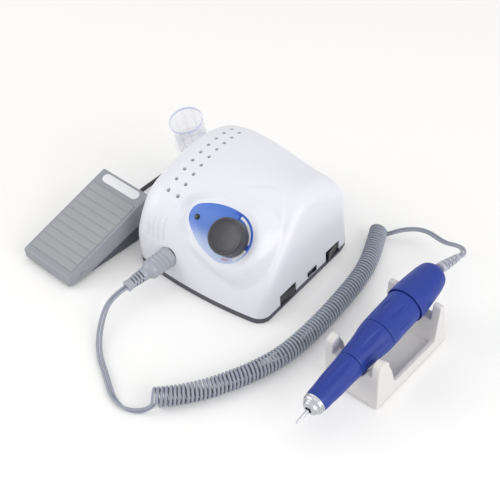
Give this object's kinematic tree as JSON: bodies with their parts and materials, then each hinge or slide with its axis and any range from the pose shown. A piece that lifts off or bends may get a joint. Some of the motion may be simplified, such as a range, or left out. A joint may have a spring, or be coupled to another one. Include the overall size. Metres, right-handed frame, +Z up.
{
  "type": "nail drill machine",
  "caption": "Table-top nail drill set: wedge control box with dial and clear cup, corded drill handpiece in a cradle, and a foot pedal.",
  "frame": {"origin": "middle of the footprint of the control box, cup, cradle with handpiece and pedal together, without the cords, on the table", "axes": "+Z up; the front of the control box, with its dial and plug, faces -Y; +X is towards the cradle and the handpiece, -X towards the pedal"},
  "size_m": [0.3212, 0.3027, 0.0866],
  "materials": {
    "shell_white": "satin moulded",
    "tray_grey": "fine texture",
    "foot_rubber": "matt",
    "steel": "bright turned",
    "panel_blue": "printed film",
    "white_print": "print",
    "lens_clear": "polished",
    "knob_grey": "satin",
    "black_plastic": "satin",
    "brass": "turned",
    "core_iron": "stacked plates",
    "board_green": "laminate",
    "sink_aluminium": "extruded",
    "cap_sleeve": "shrink sleeve",
    "plug_grey_blue": "satin",
    "cup_clear": "clear moulded",
    "hand_blue": "satin anodised",
    "motor_grey": "sintered",
    "copper": "wound wire",
    "cradle_white": "satin moulded",
    "pedal_grey": "fine texture",
    "pedal_dark": "fine texture",
    "mat_grey": "ribbed",
    "label_white": "smooth",
    "boot_grey": "matt",
    "cord_lilac": "smooth",
    "cord_black": "smooth"
  },
  "bodies": {
    "root": {"top_shell": "shell_white", "base_tray": "tray_grey", "rubber_feet": "foot_rubber", "base_screws": "steel", "dial_panel": "panel_blue", "dial_arcs": "white_print", "indicator_lens": "lens_clear", "potentiometer": "sink_aluminium", "power_switch": "black_plastic", "direction_switch": "black_plastic", "slide_switch": "black_plastic", "power_inlet": "black_plastic", "pedal_socket": "brass", "transformer": "core_iron", "circuit_board": "board_green", "heat_sink": "sink_aluminium", "capacitor": "cap_sleeve", "handpiece_socket": "black_plastic", "plug_body": "plug_grey_blue", "plug_boot": "plug_grey_blue", "plug_pins": "brass", "cup_holder": "shell_white", "cradle": "cradle_white", "cradle_feet": "foot_rubber", "pedal_base": "pedal_dark", "pedal_feet": "foot_rubber", "hinge_pin": "steel", "foot_switch": "black_plastic", "cord_gland": "cord_black", "pedal_jack_plug": "cord_black", "plug_lead": "cord_lilac", "handpiece_tail": "cord_lilac", "curly_cord": "cord_lilac", "pedal_cord_coil": "cord_black", "pedal_cord": "cord_black", "jack_cord": "cord_black"},
    "knob": {"speed_knob": "knob_grey", "knob_shaft": "steel"},
    "power_rocker": {"power_rocker": "black_plastic"},
    "direction_rocker": {"direction_rocker": "black_plastic"},
    "mode_slider": {"mode_slider": "black_plastic"},
    "treadle": {"treadle": "pedal_grey", "treadle_mat": "mat_grey", "label_plate": "label_white"},
    "handpiece": {"nose_cap": "steel", "spindle_bearings": "steel", "inner_barrel": "sink_aluminium", "front_grip": "hand_blue", "rear_housing": "hand_blue", "rear_cap": "hand_blue", "motor_magnets": "motor_grey", "brush_holder": "black_plastic", "rear_bearing": "steel", "cord_boot": "boot_grey"},
    "lock_sleeve": {"lock_sleeve": "hand_blue"},
    "spindle": {"bur": "steel", "collet": "steel", "spindle": "steel", "armature": "copper"},
    "cup": {"cup": "cup_clear"}
  },
  "joints": [
    {"name": "knob_turn", "type": "hinge", "parent": "root", "child": "knob", "pos_m": [0.0002, -0.00375, 0.0565], "axis": [0, -0.6921, 0.7218], "range_deg": [-270, 0]},
    {"name": "power_rocker_tip", "type": "hinge", "parent": "root", "child": "power_rocker", "pos_m": [0.0359, 0.01365, 0.008], "axis": [0, 0, 1], "range_deg": [0, 16]},
    {"name": "direction_rocker_tip", "type": "hinge", "parent": "root", "child": "direction_rocker", "pos_m": [0.0359, 0.07635, 0.008], "axis": [0, 0, 1], "range_deg": [-16, 0]},
    {"name": "mode_slide", "type": "slide", "parent": "root", "child": "mode_slider", "axis": [0, 1, 0], "range_m": [0, 0.006]},
    {"name": "treadle_press", "type": "hinge", "parent": "root", "child": "treadle", "pos_m": [-0.13168, -0.0635, 0.007], "axis": [0.9964, -0.0842, 0], "range_deg": [-4, 0], "stiffness_Nm_per_rad": 3, "springref_deg": 1.72},
    {"name": "handpiece_lift", "type": "slide", "parent": "root", "child": "handpiece", "axis": [0, 0, 1], "range_m": [0, 0.06]},
    {"name": "sleeve_twist", "type": "hinge", "parent": "handpiece", "child": "lock_sleeve", "pos_m": [0.1282, -0.10005, 0.0288], "axis": [0.0603, 0.991, 0.1193], "range_deg": [0, 45]},
    {"name": "spindle_spin", "type": "hinge", "parent": "handpiece", "child": "spindle", "pos_m": [0.1282, -0.10005, 0.0288], "axis": [0.0603, 0.991, 0.1193], "continuous": true},
    {"name": "cup_lift", "type": "slide", "parent": "root", "child": "cup", "axis": [0, -0.2907, 0.9568], "range_m": [0, 0.06]}
  ]
}
